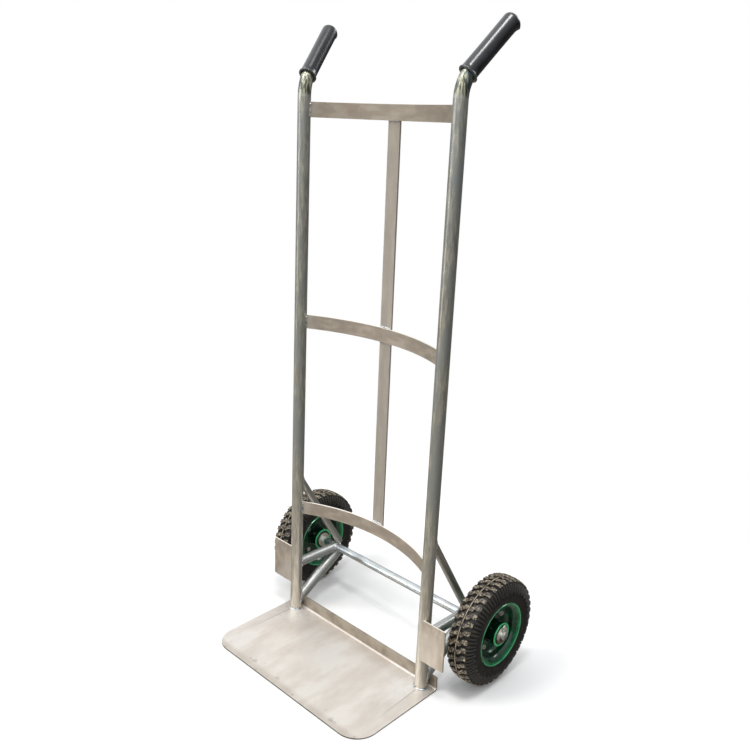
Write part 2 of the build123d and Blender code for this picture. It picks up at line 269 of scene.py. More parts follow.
def galvanised(name, lean, cool, warm, base_z=0.0, warm_z=0.0):
    """Zinc on tube, with streaks along a direction that leans from upright towards +Y.
    Below base_z the tint is warm, and it fades to the cool one at warm_z."""
    look = Look(name, Metallic=0.82)
    along = (lean, 0, 0)
    streak = look.noise(0.0034, 5, (1, 1, 9), along, roughness=0.65)
    patch = look.noise(0.028, 3, (1, 1, 3.2), along, shift=0.3)
    fine = look.noise(0.0009, 2, (1, 1, 22), along)
    tone = look.ramp(streak, (0.40, cool[0]), (0.49, cool[1]), (0.60, cool[2]))
    tone = look.mix(look.fade(patch, 0.42, 0.66), tone, cool[3])
    if warm_z > base_z:
        height = look.math("ADD", look.coordinate(2), look.times(patch, 0.16))
        low_tone = look.mix(look.fade(streak, 0.35, 0.65), *warm)
        tone = look.mix(look.fade(height, base_z, warm_z), low_tone, tone)
    spots = look.fade(look.noise(0.0035, 2, shift=0.7), 0.66, 0.74)
    tone = look.over(tone, srgb(88, 80, 66), spots, 0.55)
    tone = look.over(tone, srgb(226, 224, 216), look.edges(), 0.5)
    rough = look.between(patch, 0.24, 0.46)
    return look.finish(tone, rough, ((streak, 0.00008), (fine, 0.00003)))


def brushed(name, colours, grain, metallic=0.7, rough=(0.38, 0.58), worn=(222, 214, 204),
            painted_top_highlight=False, spread=1.0):
    """Bare steel brushed along a direction given as stretches on X, Y and Z, with dull stains.
    Faces that look up can get a painted highlight, for the bright sky they reflect. The bands and
    stains grow with spread."""
    look = Look(name, Metallic=metallic)
    hair = look.noise(0.0011, 3, grain)
    band = look.noise(0.012 * spread, 3, [1 + 0.12 * (k - 1) for k in grain], shift=0.2)
    stain = look.noise(0.045 * spread, 4, shift=0.6)
    tone = look.ramp(band, (0.38, colours[0]), (0.50, colours[1]), (0.62, colours[2]))
    tone = look.over(tone, colours[3], look.fade(stain, 0.50, 0.72), 0.55)
    tone = look.over(tone, srgb(*worn), look.fade(hair, 0.52, 0.68), 0.22)
    specks = look.fade(look.noise(0.0024, 2, shift=0.9), 0.70, 0.76)
    tone = look.over(tone, srgb(104, 92, 82), specks, 0.5)
    tone = look.over(tone, srgb(*worn), look.edges(), 0.6)
    if painted_top_highlight:
        # Painted highlight: faces that look up are lighter, as if they reflected the sky.
        tone = look.mix(look.fade(look.upward(), 0.6, 0.95), tone, srgb(250, 246, 238))
    return look, tone, look.between(stain, *rough), ((hair, 0.00004), (stain, 0.0003))


BARE = (srgb(161, 148, 132), srgb(172, 159, 142), srgb(193, 180, 162), srgb(148, 128, 109))
STRIP = (srgb(138, 127, 112), srgb(149, 137, 121), srgb(170, 158, 142), srgb(128, 112, 95))
PLATE = (srgb(214, 206, 197), srgb(221, 214, 206), srgb(228, 223, 216), srgb(207, 199, 190))


def painted_shade_above(look, tone):
    """Painted shade: steel a little darker and browner towards the top of the frame."""
    height = look.fade(look.coordinate(2), 550 * MM, CORNER_Z)
    return look.over(tone, srgb(112, 100, 82), height, 0.38)


def bar_steel():
    look, tone, rough, heights = brushed("bar_steel", BARE, (30, 1, 1), painted_top_highlight=True)
    return look.finish(painted_shade_above(look, tone), rough, heights)


def strip_steel():
    look, tone, rough, heights = brushed("strip_steel", STRIP, (1, 1, 30))
    return look.finish(painted_shade_above(look, tone), rough, heights)


def guard_steel():
    look, tone, rough, heights = brushed("guard_steel", BARE, (1, 1, 14), painted_top_highlight=True)
    return look.finish(tone, rough, heights)


def plate_steel():
    """The toe plate's sheet. It is brighter around the feet of the rails, dirty and worn along its
    front, and dark on its cut edges. Painted shade darkens it outside and along its creases, and on its
    flange."""
    look, tone, rough, heights = brushed(
        "plate_steel", PLATE, (1, 14, 1), 0.60, (0.40, 0.50), (238, 233, 226), spread=3.2
    )
    for side in SIDES.values():
        ground = look.fade(look.distance_to(rail_point(side, 0)), 85 * MM, 18 * MM)
        uneven = look.times(ground, look.fade(look.noise(0.012, 3, shift=side), 0.25, 0.6))
        tone = look.over(tone, srgb(240, 237, 232), uneven, 0.8)

    depth_y, height = look.coordinate(1), look.coordinate(2)
    front = look.fade(depth_y, plate_low.y + 45 * MM, plate_low.y)
    dirt = look.fade(look.noise(0.016, 4, shift=1.4), 0.60, 0.70)
    tone = look.over(tone, srgb(134, 122, 108), look.times(dirt, front), 0.5)
    rim = look.fade(depth_y, plate_low.y + 20 * MM, plate_low.y + 6 * MM)
    worn = look.times(rim, look.fade(look.noise(0.09, 3, shift=2.1), 0.15, 0.55))
    tone = look.over(tone, srgb(170, 157, 140), worn, 0.40)

    depth = look.times(look.math("SUBTRACT", plate_high.y, depth_y), CREASE_SPREAD)
    crease_x = look.math("ADD", depth, CREASE_REAR_X)
    crease = look.math("SUBTRACT", look.side_distance(), crease_x)
    travel = CREASE_FRONT_X - CREASE_REAR_X
    fading = look.fade(depth, 0.75 * travel, 0.25 * travel)
    outside = look.times(look.fade(crease, -1 * MM, 6 * MM), fading)
    # Painted shade on the margins outside the creases, which tilt away from the light.
    tone = look.over(tone, srgb(190, 178, 162), outside, 0.30)
    line = look.times(look.fade(look.math("ABSOLUTE", crease), 2.8 * MM, 0.6 * MM), fading)
    # Painted shade along each crease.
    tone = look.over(tone, srgb(140, 128, 114), line, 0.40)

    # Painted shade on the upright flange, made uneven by noise.
    uneven = look.fade(look.noise(0.035, 4, shift=1.7), 0.25, 0.65)
    shaded_flange_tone = look.mix(uneven, srgb(128, 118, 104), srgb(168, 158, 144))
    tone = look.mix(look.fade(height, 4 * MM, 8 * MM), tone, shaded_flange_tone)
    steep = look.fade(look.math("ABSOLUTE", look.upward()), 0.75, 0.35)
    cut = look.times(steep, look.fade(height, 4 * MM, 3 * MM))
    tone = look.over(tone, srgb(66, 56, 48), cut, 0.75)
    return look.finish(tone, rough, heights)


def axle_steel():
    """Bright turned steel, with rust and a painted highlight on its ends."""
    look, tone, rough, heights = brushed(
        "axle_steel",
        (srgb(176, 188, 194), srgb(200, 208, 210), srgb(222, 228, 230), srgb(186, 176, 158)),
        (24, 1, 1), 0.92, (0.16, 0.34), (240, 244, 246),
    )
    return look.finish(axle_end_highlight_and_rust(look, tone), rough, heights)


def plated(name, light, dull, rust):
    """Zinc plated hardware, dusty and with a little rust in patches."""
    look = Look(name, Metallic=0.85)
    grain = look.noise(0.0022, 3)
    patch = look.noise(0.006, 3, shift=0.4)
    tone = look.mix(look.fade(grain, 0.35, 0.65), light, dull)
    tone = look.over(tone, rust, look.fade(patch, 0.55, 0.70), 0.65)
    tone = look.mix(look.edges(), tone, srgb(236, 234, 228))
    # On the axle's ends: a painted highlight above and rust below.
    tone = axle_end_highlight_and_rust(look, tone)
    return look.finish(tone, look.between(patch, 0.22, 0.48), ((grain, 0.00005),))


def axle_end_highlight_and_rust(look, tone):
    """Rust on the lower half of the axle's ends, and a painted highlight on their upper half."""
    outer = look.fade(look.side_distance(), WHEEL_X + 20 * MM, WHEEL_X + 24 * MM)
    centred = look.math("SUBTRACT", look.noise(0.007, 3, shift=1.9), 0.5)
    above_axle = look.math("SUBTRACT", look.coordinate(2), AXLE.z)
    height = look.math("ADD", above_axle, look.times(centred, 20 * MM))
    painted_highlight = look.times(outer, look.fade(height, -1 * MM, 3 * MM))
    rusty = look.times(outer, look.fade(height, -1 * MM, -5 * MM))
    # Painted highlight on the upper half of the axle's ends.
    tone = look.over(tone, srgb(238, 236, 230), painted_highlight, 0.8)
    return look.over(tone, srgb(112, 78, 58), rusty, 0.75)


def weld_metal():
    """Bright beads with blue and straw heat colours."""
    look = Look("weld_metal", Metallic=0.9)
    heat = look.noise(0.006, 3)
    grain = look.noise(0.0012, 3, shift=0.5)
    blue, grey = srgb(86, 98, 118), srgb(186, 192, 198)
    bright, straw = srgb(226, 226, 222), srgb(176, 150, 120)
    tone = look.ramp(heat, (0.30, blue), (0.46, grey), (0.60, bright), (0.74, straw))
    return look.finish(tone, look.between(grain, 0.20, 0.50), ((grain, 0.0002),))


def grip_plastic():
    """Black moulded plastic with a fine grain and pale scuffs."""
    look = Look("grip_plastic", Coat_Weight=0.7, Coat_Roughness=0.16)
    grain = look.noise(0.0007, 2)
    scuff = look.noise(0.009, 4, (1, 1, 2.5), (HANDLE_TILT, 0, 0))
    tone = look.mix(look.fade(scuff, 0.40, 0.72), srgb(12, 14, 18), srgb(34, 37, 44))
    tone = look.over(tone, srgb(96, 99, 104), look.edges(), 0.35)
    rough = look.between(scuff, 0.24, 0.42)
    return look.finish(tone, rough, ((grain, 0.00005), (scuff, 0.0002)))


def rim_paint():
    """Glossy green paint with dust in patches and a painted highlight on its edges. A painted
    highlight makes the lip paler than the dish and the hub's ends the brightest, and painted shade
    makes its barrel the darkest."""
    look = Look("rim_paint", Coat_Weight=0.8, Coat_Roughness=0.08, Metallic=0.25)
    patch = look.noise(0.018, 4)
    grain = look.noise(0.0016, 3, shift=0.3)
    radius = look.radius_from_x(AXLE.y, AXLE.z)
    tone = look.mix(look.fade(patch, 0.35, 0.70), srgb(0, 46, 29), srgb(0, 72, 44))
    lip_highlight_tone = look.mix(look.fade(patch, 0.35, 0.65), srgb(14, 104, 62), srgb(30, 138, 84))
    # Painted highlight: the lip is paler than the dish.
    tone = look.mix(look.fade(radius, 54.5 * MM, 62.5 * MM), tone, lip_highlight_tone)
    away = look.math("ABSOLUTE", look.math("SUBTRACT", look.side_distance(), WHEEL_X))
    near = look.fade(radius, 26.2 * MM, 24.8 * MM)
    end_inner, end_outer = HUB_END - 1.8 * MM, HUB_END - 0.6 * MM
    hub_end_highlight = look.times(near, look.fade(away, end_inner, end_outer))
    barrel_shade = look.times(near, look.fade(away, end_outer, end_inner))
    # Painted highlight on the ends of the hub.
    tone = look.mix(hub_end_highlight, tone, srgb(44, 186, 112))
    dust = look.fade(look.noise(0.0045, 4, shift=0.8), 0.58, 0.72)
    tone = look.over(tone, srgb(138, 148, 128), dust, 0.18)
    # Painted highlight along the paint's sharp edges.
    tone = look.over(tone, srgb(96, 204, 146), look.edges(), 0.55)
    # Painted shade on the hub's barrel, deep inside the dish.
    tone = look.mix(barrel_shade, tone, srgb(0, 34, 22))
    rough = look.between(grain, 0.10, 0.30)
    return look.finish(tone, rough, ((grain, 0.00004), (patch, 0.0005)))


def tyre_rubber():
    """Black rubber with tan dust on the tops of the tread blocks, in the tyre's own coordinates."""
    look = Look("tyre_rubber")
    grain = look.noise(0.0013, 3)
    patch = look.noise(0.012, 4, shift=0.5)
    across = look.side_distance()
    drop = look.times(look.math("POWER", across, 2.0), CROWN_DROP)
    crown = look.math("ADD", look.radius_from_x(), drop)
    tops = look.fade(crown, TYRE_R - 2.0 * MM, TYRE_R - 0.4 * MM)
    worn = look.fade(look.noise(0.0034, 4, shift=1.1), 0.44, 0.62)
    middle = look.fade(across, 2.2 * MM, 1.2 * MM)
    worn = look.math("MAXIMUM", worn, look.times(middle, 0.9))
    dusty = look.times(look.times(tops, worn), look.fade(patch, 0.24, 0.56))
    tone = look.mix(look.fade(grain, 0.3, 0.7), srgb(9, 9, 9), srgb(30, 28, 26))
    tone = look.over(tone, srgb(70, 62, 52), look.fade(patch, 0.50, 0.74), 0.45)
    tone = look.over(tone, srgb(132, 124, 112), look.edges(), 0.10)
    dust_tone = look.mix(look.fade(grain, 0.30, 0.70), srgb(118, 104, 84), srgb(214, 196, 168))
    tone = look.over(tone, dust_tone, dusty, 0.95)
    rough = look.between(patch, 0.36, 0.66)
    return look.finish(tone, rough, ((grain, 0.00025), (patch, 0.0004)))


def soft_part(name, dark, light, size=0.003, rough=(0.35, 0.6)):
    """A small moulded or rubber part."""
    look = Look(name)
    grain = look.noise(size, 4)
    tone = look.mix(look.fade(grain, 0.35, 0.65), dark, light)
    tone = look.over(tone, light, look.edges(), 0.4)
    return look.finish(tone, look.between(grain, *rough), ((grain, 0.0001),))


# ---- Mesh helpers

def add_object(name, points, faces, material, smooth=True):
    """A mesh object with one material."""
    mesh = bpy.data.meshes.new(name)
    mesh.from_pydata([tuple(p) for p in points], [], faces)
    mesh.polygons.foreach_set("use_smooth", [smooth] * len(mesh.polygons))
    mesh.update()
    made = bpy.data.objects.new(name, mesh)
    bpy.context.scene.collection.objects.link(made)
    mesh.materials.append(material)
    return made


def sheet_faces(rows, columns, close_rows=False, close_columns=False):
    """Quads over points stored row by row."""
    faces = []
    for i in range(rows if close_rows else rows - 1):
        for j in range(columns if close_columns else columns - 1):
            here, after = i * columns, (i + 1) % rows * columns
            j2 = (j + 1) % columns
            faces.append((here + j, here + j2, after + j2, after + j))
    return faces


def turned(section, around):
    """A closed section of places along X and radii, turned about X, as points and faces."""
    points = []
    for k in range(around):
        turn = 2 * pi * k / around
        points += [(u, r * sin(turn), r * cos(turn)) for u, r in section]
    return points, sheet_faces(around, len(section), close_rows=True, close_columns=True)


def join(points, faces, more_points, more_faces):
    """Adds a shape's points and faces to those of a mesh."""
    first = len(points)
    points += [tuple(p) for p in more_points]
    faces += [tuple(first + i for i in face) for face in more_faces]


def recalculate(piece):
    """Turns every face of a mesh to face outwards."""
    work = bmesh.new()
    work.from_mesh(piece.data)
    bmesh.ops.recalc_face_normals(work, faces=work.faces)
    work.to_mesh(piece.data)
    work.free()


def unit_rows(vectors):
    return vectors / np.linalg.norm(vectors, axis=1)[:, None]


def lengths_along(points):
    """The distance along a line of points, at each of them."""
    steps = np.linalg.norm(np.diff(points, axis=0), axis=1)
    return np.concatenate([[0], np.cumsum(steps)])


def soften(piece, width, angle=35):
    """Rounds the sharp edges of a piece and evens its shading."""
    weld = piece.modifiers.new("weld", "WELD")
    weld.merge_threshold = 0.00001
    bevel = piece.modifiers.new("bevel", "BEVEL")
    bevel.width = width
    bevel.segments = 2
    bevel.limit_method = "ANGLE"
    bevel.angle_limit = radians(angle)
    shade = piece.modifiers.new("shade", "WEIGHTED_NORMAL")
    shade.weight = 60


def arc_points(first, middle, last, count):
    """Points along the circle through three points, without the last one."""
    (ax, ay), (bx, by), (cx, cy) = first, middle, last
    d = 2 * (ax * (by - cy) + bx * (cy - ay) + cx * (ay - by))
    sa, sb, sc = ax**2 + ay**2, bx**2 + by**2, cx**2 + cy**2
    ox = (sa * (by - cy) + sb * (cy - ay) + sc * (ay - by)) / d
    oy = (sa * (cx - bx) + sb * (ax - cx) + sc * (bx - ax)) / d
    radius = sqrt((ax - ox) ** 2 + (ay - oy) ** 2)
    start = atan2(ay - oy, ax - ox)
    sweep = atan2(cy - oy, cx - ox) - start
    sweep = (sweep + pi) % (2 * pi) - pi
    steps = [start + sweep * k / count for k in range(count)]
    return [(ox + radius * cos(t), oy + radius * sin(t)) for t in steps]


# ---- Tyres: a carcass with blocks, a centre rib and shoulder ribs standing on it

PITCHES = 40
TREAD_DEPTH = 4.6 * MM
SHOULDER_RIB_DEPTH = 2.2 * MM
BLOCK_ROOT = -0.6 * MM     # how far the blocks reach into the carcass
BLOCK_CHAMFER = 0.55 * MM
BLOCK_FLARE = 0.35 * MM    # how much wider a block is at its root, on each side
CENTRE_RIB_HALF = 0.9 * MM
CENTRE_RIB_TOP = TREAD_DEPTH - 0.5 * MM
TYRE_STEPS = 216


def carcass_section():
    """The outside of the carcass, from its middle to the rim, as places along the axle and radii."""
    crown, shoulder = (0.0, 105.4), (17.0, 103.4)
    flank, lip, edge = (22.8, 98.0), (26.6, 66.5), (25.4, 64.2)
    points = arc_points(crown, (9.0, 104.9), shoulder, 8)
    points += arc_points(shoulder, (20.4, 101.6), flank, 5)
    points += arc_points(flank, (27.4, 86.0), lip, 12)
    points += [lip, (26.5, 65.0), edge]
    return np.array(points) * MM


SECTION = carcass_section()
ALONG = lengths_along(SECTION)
SLOPE = np.gradient(SECTION, ALONG, axis=0)
OUTWARD = unit_rows(np.stack([-SLOPE[:, 1], SLOPE[:, 0]], 1))


def on_tyre(turn, across, height):
    """A point by the angle about the axle, the distance across the carcass and the height over it."""
    s = abs(across)
    u, r = (np.interp(s, ALONG, SECTION[:, k]) for k in (0, 1))
    nu, nr = (np.interp(s, ALONG, OUTWARD[:, k]) for k in (0, 1))
    u, r = u + nu * height, r + nr * height
    return ((u if across >= 0 else -u), r * sin(turn), r * cos(turn))


def block(stations, height, way=1):
    """A raised block as points and faces. A station is a place across and its two edges, as distances
    around the tyre, which count forwards or backwards with the way."""
    chamfer = BLOCK_CHAMFER
    first, last = stations[0], stations[-1]
    inward = chamfer if last[0] > first[0] else -chamfer
    rows = [(first[0], first[1], first[2], height - chamfer)]
    rows += [(first[0] + inward, first[1], first[2], height)]
    rows += [(s, low, high, height) for s, low, high in stations[1:-1]]
    rows += [(last[0] - inward, last[1], last[2], height)]
    rows += [(last[0], last[1], last[2], height - chamfer)]
    points = []
    for s, low, high, top in rows:
        edge = top if top < height else height - chamfer
        ring = ((low - BLOCK_FLARE, BLOCK_ROOT), (low, edge), (low + chamfer, top),
                (high - chamfer, top), (high, edge), (high + BLOCK_FLARE, BLOCK_ROOT))
        points += [on_tyre(way * t / TYRE_R, s, h) for t, h in ring]
    faces = sheet_faces(len(rows), 6, close_columns=True)
    faces += [tuple(range(6)), tuple(range(6 * len(rows) - 1, 6 * len(rows) - 7, -1))]
    return points, faces


def tread_unit(pitch):
    """One pitch: a hooked block each side of the centre rib, and two ribs on each shoulder."""
    shapes = []
    half, hook = pitch * 0.27, pitch * 0.38
    hook_line = (
        (2.2, 0.0), (6.0, 0.02), (8.6, 0.22), (10.8, 0.85), (12.8, 1.0), (17.6, 1.0), (20.0, 1.04)
    )
    for way in (-1, 1):
        middle = 0.25 * pitch * way
        stations = []
        for s, share in hook_line:
            width = half * (0.94 if s < 6 else 1.0)
            centre = middle + hook * share
            stations.append((way * s * MM, centre - width, centre + width))
        shapes.append(block(stations, TREAD_DEPTH, way))
        for offset, start, end in ((0.0, 20.9, 41.0), (0.5, 18.4, 38.0)):
            base = middle + hook + offset * pitch
            rib_line = ((start, 0.14), (26.0, 0.14), (31.0, 0.13), (end, 0.10))
            rib = [(way * s * MM, base - w * pitch, base + w * pitch) for s, w in rib_line]
            shapes.append(block(rib, SHOULDER_RIB_DEPTH, way))
    return shapes


def make_tyre(name, side, material):
    """A hollow carcass with its tread, built about the origin and placed on the axle."""
    bead_seat = np.array([(24.4, 63.6), (22.4, 58.6), (19.6, 54.8), (15.8, 52.6), (11.4, 52.4)]) * MM
    cavity = np.array([(12.6, 60.0), (22.6, 80.0), (22.4, 90.0), (15.0, 101.0), (0.0, 103.0)]) * MM
    half = [tuple(p) for p in (*SECTION, *bead_seat, *cavity)]
    points, faces = turned(half + [(-u, r) for u, r in half[-2:0:-1]], TYRE_STEPS)

    crown_r = SECTION[0][1]
    root, top = crown_r + BLOCK_ROOT, crown_r + CENTRE_RIB_TOP
    wide, narrow = CENTRE_RIB_HALF * 1.5, CENTRE_RIB_HALF
    rib = [(-wide, root), (-narrow, top), (narrow, top), (wide, root)]
    join(points, faces, *turned(rib, TYRE_STEPS))

    unit = tread_unit(2 * pi * TYRE_R / PITCHES)
    for k in range(PITCHES):
        turn = 2 * pi * k / PITCHES
        spin = np.array([[1, 0, 0], [0, cos(turn), sin(turn)], [0, -sin(turn), cos(turn)]])
        for shape, shape_faces in unit:
            join(points, faces, np.array(shape) @ spin.T, shape_faces)

    tyre = add_object(name + "_treaded_tyre", points, faces, material)
    recalculate(tyre)
    tyre.data.shade_smooth()
    split = tyre.modifiers.new("split", "EDGE_SPLIT")
    split.split_angle = radians(38)
    tyre.location = (side * WHEEL_X, AXLE.y, AXLE.z)
    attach(tyre, name + "_wheel")
    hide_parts(name + "_tyre")


# ---- Rims: two pressed dishes with a flared lip and a rolled edge

RIM_SHEET = 2 * MM
RIM_STEPS = 128


def rim_sheet_line():
    """The middle of a dish's sheet, from the hub to the lip, as places along the axle and radii."""
    points = [(1.0, 24.2), (1.0, 30.0)]
    points += arc_points((1.0, 43.0), (1.9, 46.2), (4.6, 48.4), 5)
    points += arc_points((4.6, 48.4), (7.6, 50.2), (11.0, 51.2), 4)
    points += arc_points((12.0, 51.3), (19.6, 54.0), (24.2, 61.0), 9)
    points += arc_points((24.2, 61.0), (25.1, 63.0), (26.3, 63.9), 4)
    points += [(26.3, 63.9), (27.0, 63.4)]
    return np.array(points) * MM


def make_rim(name, side, facing, material):
    """A dish turned about the axle. Facing is 1 for the outer one and -1 for the inner one."""
    line = rim_sheet_line()
    slope = unit_rows(np.gradient(line, axis=0))
    outward = np.stack([slope[:, 1], -slope[:, 0]], 1) * RIM_SHEET / 2
    loop = np.concatenate([line + outward, (line - outward)[::-1]])
    points, faces = turned([(facing * side * u, r) for u, r in loop], RIM_STEPS)
    kind = "outer" if facing == 1 else "inner"
    rim = add_object(f"{name}_pressed_rim_{kind}", points, faces, material)
    recalculate(rim)
    rim.data.transform(Matrix.Translation((side * WHEEL_X, AXLE.y, AXLE.z)))
    soften(rim, 0.3 * MM, 50)
    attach(rim, name + "_wheel")
    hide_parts(f"{name}_rim_{kind}_half")


# ---- Grips

GRIP_SIDES = 48
GRIP_DOME = 9 * MM
GRIP_WAIST = 0.25 * MM
MOUTH_END = 3.4 * MM
MOUTH_DROP = 1.6 * MM      # how much further the mouth's collar stands out below
LIP_HEIGHT = 3.4 * MM
LIP_BACK = 7 * MM          # from the end to the middle of the lip
LIP_REACH = 6 * MM
SEAM_HEIGHT = 0.35 * MM


def grip_profile(bore):
    """Places along the grip and radii, from inside the mouth to the tip of the dome."""
    mouth = [(2.0, bore), (0.2, bore + 0.3 * MM), (0.0, GRIP_R), (0.3, COLLAR_R - 0.5 * MM),
             (1.0, COLLAR_R), (2.4, COLLAR_R), (3.4, COLLAR_R - 0.8 * MM), (4.6, GRIP_R + 0.1 * MM)]
    profile = [(z * MM, r) for z, r in mouth]
    for k in range(1, 16):
        share = k / 16
        waist = GRIP_WAIST * sin(pi * share)
        profile.append((4.6 * MM + (GRIP_LENGTH - 14 * MM) * share, GRIP_R - waist))
    for k in range(9):
        turn = pi / 2 * k / 8
        radius = max(GRIP_R * cos(turn) ** 0.55, 0.6 * MM)
        profile.append((GRIP_LENGTH - GRIP_DOME + GRIP_DOME * sin(turn), radius))
    return profile


def make_grip(name, side, material):
    """A sleeve with a flared mouth, a domed end with a lip below, a parting seam and a slight waist."""
    way = handle_way(side)
    mouth = rail_point(side, CORNER_Z) + way * GRIP_START
    level = Vector((0, 0, 1)).cross(way).normalized()
    below = way.cross(level).normalized()
    if below.z > 0:
        below = -below
    bore = RAIL_R + 0.1 * MM
    profile = grip_profile(bore)
    points = []
    for z, r in profile:
        lip = max(0.0, 1 - abs(z - (GRIP_LENGTH - LIP_BACK)) / LIP_REACH)
        for j in range(GRIP_SIDES):
            turn = 2 * pi * j / GRIP_SIDES
            low = max(0.0, cos(turn))
            out = r
            if z < MOUTH_END and r > bore + 1 * MM:
                out += MOUTH_DROP * low**2
            if r > 6 * MM:
                out += LIP_HEIGHT * low**3 * lip**1.2
            from_seam = abs((turn - side + pi) % (2 * pi) - pi)
            if from_seam < 0.07 and r > bore + 1 * MM and z > 1 * MM:
                out += SEAM_HEIGHT
            points.append(mouth + way * z + (below * cos(turn) + level * sin(turn)) * out)
    faces = sheet_faces(len(profile), GRIP_SIDES, close_columns=True)
    faces.append(tuple(range(len(points) - GRIP_SIDES, len(points))))
    grip = add_object(name + "_moulded_grip", points, faces, material)
    recalculate(grip)
    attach(grip, "frame")
    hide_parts(name + "_grip")


# ---- Toe plate

INNER_COLUMNS = 16


def plate_path():
    """The sheet's middle from front to flange top: place along Y, height and inset of the sides."""
    front, flange_y, top = plate_low.y, plate_high.y - PLATE_T / 2, plate_high.z
    middle, rear = PLATE_T / 2, flange_y - FLANGE_BEND
    path = []
    for k in range(13):
        turn = pi / 2 * k / 12
        path.append((front + PLATE_CORNER * (1 - cos(turn)), middle, PLATE_CORNER * (1 - sin(turn))))
    for k in range(1, 9):
        path.append((front + PLATE_CORNER + (rear - front - PLATE_CORNER) * k / 8, middle, 0.0))
    for k in range(1, 7):
        turn = pi / 2 * k / 6
        path.append((rear + FLANGE_BEND * sin(turn), middle + FLANGE_BEND * (1 - cos(turn)), 0.0))
    path.append((flange_y, (top + middle) / 2, 0.0))
    for k in range(7):
        turn = pi / 2 * k / 6
        inset = FLANGE_CORNER * (1 - cos(turn))
        path.append((flange_y, top - FLANGE_CORNER * (1 - sin(turn)), inset))
    return np.array(path)


def make_toe_plate(material):
    """The bent sheet. Outside a crease near each side, its upper face drops a little."""
    front, half_width, middle = plate_low.y, plate_high.x, PLATE_T / 2
    length = plate_high.y - PLATE_T / 2 - FLANGE_BEND - front
    path = plate_path()
    slope = unit_rows(np.gradient(path[:, :2], axis=0))
    slope[0] = (1, 0)
    upper, lower = [], []
    for (y, z, inset), (sy, sz) in zip(path, slope):
        edge = half_width - inset
        depth = min(1.0, max(0.0, (y - front) / length))
        crease = CREASE_FRONT_X + (CREASE_REAR_X - CREASE_FRONT_X) * depth
        crease = min(crease, edge - 2 * MM)
        flat = 1.0 if z <= middle + 0.1 * MM else 0.0
        columns = [-edge, -(crease + CREASE_HALF), -(crease - CREASE_HALF)]
        columns += [crease * (2 * k / INNER_COLUMNS - 1) for k in range(1, INNER_COLUMNS)]
        columns += [crease - CREASE_HALF, crease + CREASE_HALF, edge]
        for x in columns:
            outside = min(1.0, max(0.0, (abs(x) - crease) / (half_width - crease)))
            drop = MARGIN_DROP * flat * outside
            upper.append((x, y - sz * PLATE_T / 2, z + sy * PLATE_T / 2 - drop))
            lower.append((x, y + sz * PLATE_T / 2, z - sy * PLATE_T / 2))
    rows, columns = len(path), INNER_COLUMNS + 5
    faces = sheet_faces(rows, columns)
    count = rows * columns
    faces += [tuple(count + k for k in face[::-1]) for face in sheet_faces(rows, columns)]
    rim = list(range(columns)) + [i * columns + columns - 1 for i in range(1, rows)]
    rim += [(rows - 1) * columns + j for j in range(columns - 2, -1, -1)]
    rim += [i * columns for i in range(rows - 2, 0, -1)]
    for a, b in zip(rim, rim[1:] + rim[:1]):
        faces.append((a, b, count + b, count + a))
    plate = add_object("pressed_toe_plate", upper + lower, faces, material)
    recalculate(plate)
    soften(plate, 0.5 * MM, 50)
    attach(plate, "frame")
    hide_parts("toe_plate")


# ---- Weld beads

BEAD_STEP = 0.7 * MM
BEAD_RIPPLE = 2.2 * MM
BEAD_SIDES = 10


def bead(name, path, radius, material, closed, seed):
    """A rippled weld bead along a path of points."""
    chance = np.random.default_rng(seed)
    path = np.array([tuple(p) for p in path])
    if closed:
        path = np.vstack([path, path[:1]])
    lengths = lengths_along(path)
    count = max(8, int(lengths[-1] / BEAD_STEP))
    spots = np.linspace(0, lengths[-1], count + (0 if closed else 1), endpoint=not closed)
    centres = np.stack([np.interp(spots, lengths, path[:, k]) for k in range(3)], 1)
    ways = np.roll(centres, -1, 0) - np.roll(centres, 1, 0) if closed else np.gradient(centres, axis=0)
    ways = unit_rows(ways)
    swell = np.interp(spots, np.linspace(0, lengths[-1], 9), chance.uniform(0.8, 1.2, 9))
    ripple = 1 + 0.16 * np.abs(np.sin(pi * spots / BEAD_RIPPLE))
    points = []
    for k, (centre, way) in enumerate(zip(centres, ways)):
        across = np.cross(way, (0.31, 0.52, 0.79))
        across /= np.linalg.norm(across)
        other = np.cross(way, across)
        taper = 1.0 if closed else min(1.0, sqrt(min(k, count - k) / 3 + 0.08))
        r = radius * swell[k] * ripple[k] * taper
        for j in range(BEAD_SIDES):
            turn = 2 * pi * j / BEAD_SIDES
            points.append(centre + (across * cos(turn) + other * sin(turn)) * r)
    faces = sheet_faces(len(centres), BEAD_SIDES, close_rows=closed, close_columns=True)
    if not closed:
        faces.append(tuple(range(BEAD_SIDES)))
        faces.append(tuple(range(len(points) - 1, len(points) - BEAD_SIDES - 1, -1)))
    made = add_object(name, points, faces, material)
    recalculate(made)
    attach(made, "frame")


def saddle(start, way, radius, other_point, other_way, other_radius):
    """The line where a tube that comes from start along way first meets another tube."""
    way, other_way = way.normalized(), other_way.normalized()
    first = way.orthogonal().normalized()
    second = way.cross(first)
    points = []
    for k in range(48):
        turn = 2 * pi * k / 48
        on_tube = start + (first * cos(turn) + second * sin(turn)) * radius
        gap = (on_tube - other_point).cross(other_way)
        run = way.cross(other_way)
        a, b, c = run.dot(run), 2 * gap.dot(run), gap.dot(gap) - other_radius**2
        root = b * b - 4 * a * c
        if root > 0:
            points.append(on_tube + way * ((-b - sqrt(root)) / (2 * a)))
    return points


def axle_ring(axle, end, radius, way):
    """A flattened ring on the axle's surface, on the side where a strut ends."""
    centre = axle + (end - axle).normalized() * (AXLE_R + 0.2 * MM)
    rise = Vector((0, way * 0.3, 0.9)).normalized() * radius * 0.2
    turns = np.linspace(0, 2 * pi, 40, endpoint=False)
    return [centre + Vector((radius * cos(t), 0, 0)) + rise * sin(t) for t in turns]


